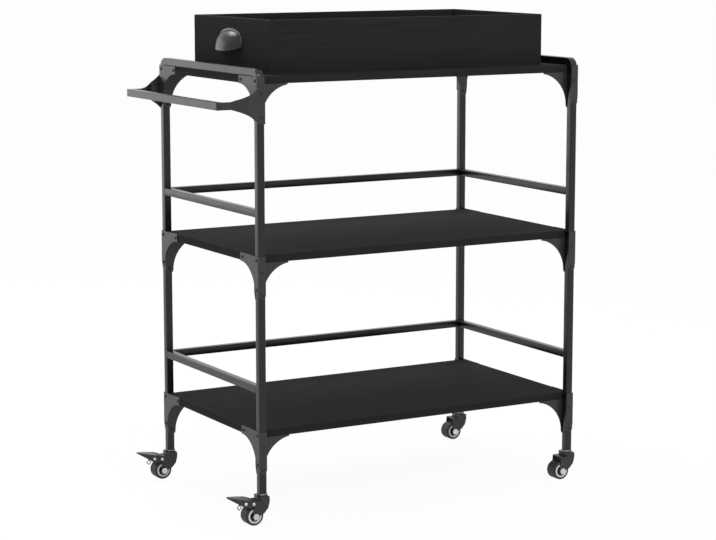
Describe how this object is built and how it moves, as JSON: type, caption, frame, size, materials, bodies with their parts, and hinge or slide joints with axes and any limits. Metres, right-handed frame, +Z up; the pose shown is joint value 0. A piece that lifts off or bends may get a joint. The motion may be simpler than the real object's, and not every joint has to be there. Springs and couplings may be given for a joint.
{
  "type": "kitchen cart",
  "caption": "Three-level kitchen cart of square tube and wood with a loose tray on top, an end handle bar, arched corner brackets and swivel casters with brakes.",
  "frame": {"origin": "on the floor under the middle of the whole cart, handle included", "axes": "+X along the cart away from the handle, +Y from front to rear, +Z up"},
  "size_m": [0.8264, 0.463, 0.977],
  "materials": {
    "dark_wood": "satin",
    "frame_steel": "satin",
    "caster_steel": "satin",
    "screw_steel": "satin",
    "pull_metal": "satin",
    "bright_steel": "polished",
    "hub_plastic": "matte",
    "tyre_rubber": "matte",
    "black_plastic": "matte"
  },
  "bodies": {
    "cart": {"side_frame_left": "frame_steel", "side_frame_right": "frame_steel", "rail_middle_left": "frame_steel", "rail_middle_right": "frame_steel", "rail_middle_back": "frame_steel", "rail_lower_left": "frame_steel", "rail_lower_right": "frame_steel", "rail_lower_back": "frame_steel", "top_board": "dark_wood", "middle_shelf": "dark_wood", "lower_shelf": "dark_wood", "bracket_lower_front_left": "frame_steel", "bracket_lower_front_right": "frame_steel", "bracket_lower_rear_left": "frame_steel", "bracket_lower_rear_right": "frame_steel", "bracket_middle_front_left": "frame_steel", "bracket_middle_front_right": "frame_steel", "bracket_middle_rear_left": "frame_steel", "bracket_middle_rear_right": "frame_steel", "bracket_top_front_left": "frame_steel", "bracket_top_front_right": "frame_steel", "bracket_top_rear_left": "frame_steel", "bracket_top_rear_right": "frame_steel", "handle_bar": "frame_steel", "handle_bracket_front": "frame_steel", "handle_bracket_rear": "frame_steel", "tube_plugs": "black_plastic", "bracket_screws": "screw_steel", "handle_screws": "screw_steel", "caster_stem_front_left": "bright_steel", "caster_stem_front_right": "bright_steel", "caster_stem_rear_left": "bright_steel", "caster_stem_rear_right": "bright_steel"},
    "tray": {"tray_front": "dark_wood", "tray_back": "dark_wood", "tray_left": "dark_wood", "tray_right": "dark_wood", "tray_bottom": "dark_wood", "tray_dowels": "dark_wood", "pull_screws": "screw_steel", "cup_pull_left": "pull_metal", "cup_pull_right": "pull_metal"},
    "fork_front_left": {"caster_fork_front_left": "caster_steel", "axle_front_left": "bright_steel"},
    "wheel_front_left": {"wheel_hub_front_left": "hub_plastic", "tyre_front_left": "tyre_rubber"},
    "pedal_front_left": {"brake_pedal_front_left": "caster_steel"},
    "fork_front_right": {"caster_fork_front_right": "caster_steel", "axle_front_right": "bright_steel"},
    "wheel_front_right": {"wheel_hub_front_right": "hub_plastic", "tyre_front_right": "tyre_rubber"},
    "fork_rear_left": {"caster_fork_rear_left": "caster_steel", "axle_rear_left": "bright_steel"},
    "wheel_rear_left": {"wheel_hub_rear_left": "hub_plastic", "tyre_rear_left": "tyre_rubber"},
    "pedal_rear_left": {"brake_pedal_rear_left": "caster_steel"},
    "fork_rear_right": {"caster_fork_rear_right": "caster_steel", "axle_rear_right": "bright_steel"},
    "wheel_rear_right": {"wheel_hub_rear_right": "hub_plastic", "tyre_rear_right": "tyre_rubber"}
  },
  "joints": [
    {"name": "swivel_front_left", "type": "hinge", "parent": "cart", "child": "fork_front_left", "pos_m": [-0.32525, -0.2115, 0.057], "axis": [0, 0, 1], "continuous": true},
    {"name": "wheel_spin_front_left", "type": "hinge", "parent": "fork_front_left", "child": "wheel_front_left", "pos_m": [-0.34725, -0.2115, 0.019], "axis": [0, 1, 0], "continuous": true},
    {"name": "brake_front_left", "type": "hinge", "parent": "fork_front_left", "child": "pedal_front_left", "pos_m": [-0.35225, -0.2115, 0.045], "axis": [0, -1, 0], "range_deg": [0, 18]},
    {"name": "swivel_front_right", "type": "hinge", "parent": "cart", "child": "fork_front_right", "pos_m": [0.40175, -0.2115, 0.057], "axis": [0, 0, 1], "continuous": true},
    {"name": "wheel_spin_front_right", "type": "hinge", "parent": "fork_front_right", "child": "wheel_front_right", "pos_m": [0.37975, -0.2115, 0.019], "axis": [0, 1, 0], "continuous": true},
    {"name": "swivel_rear_left", "type": "hinge", "parent": "cart", "child": "fork_rear_left", "pos_m": [-0.32525, 0.2115, 0.057], "axis": [0, 0, 1], "continuous": true},
    {"name": "wheel_spin_rear_left", "type": "hinge", "parent": "fork_rear_left", "child": "wheel_rear_left", "pos_m": [-0.34725, 0.2115, 0.019], "axis": [0, 1, 0], "continuous": true},
    {"name": "brake_rear_left", "type": "hinge", "parent": "fork_rear_left", "child": "pedal_rear_left", "pos_m": [-0.35225, 0.2115, 0.045], "axis": [0, -1, 0], "range_deg": [0, 18]},
    {"name": "swivel_rear_right", "type": "hinge", "parent": "cart", "child": "fork_rear_right", "pos_m": [0.40175, 0.2115, 0.057], "axis": [0, 0, 1], "continuous": true},
    {"name": "wheel_spin_rear_right", "type": "hinge", "parent": "fork_rear_right", "child": "wheel_rear_right", "pos_m": [0.37975, 0.2115, 0.019], "axis": [0, 1, 0], "continuous": true},
    {"name": "tray_lift", "type": "slide", "parent": "cart", "child": "tray", "axis": [0, 0, 1], "range_m": [0, 0.12]}
  ]
}
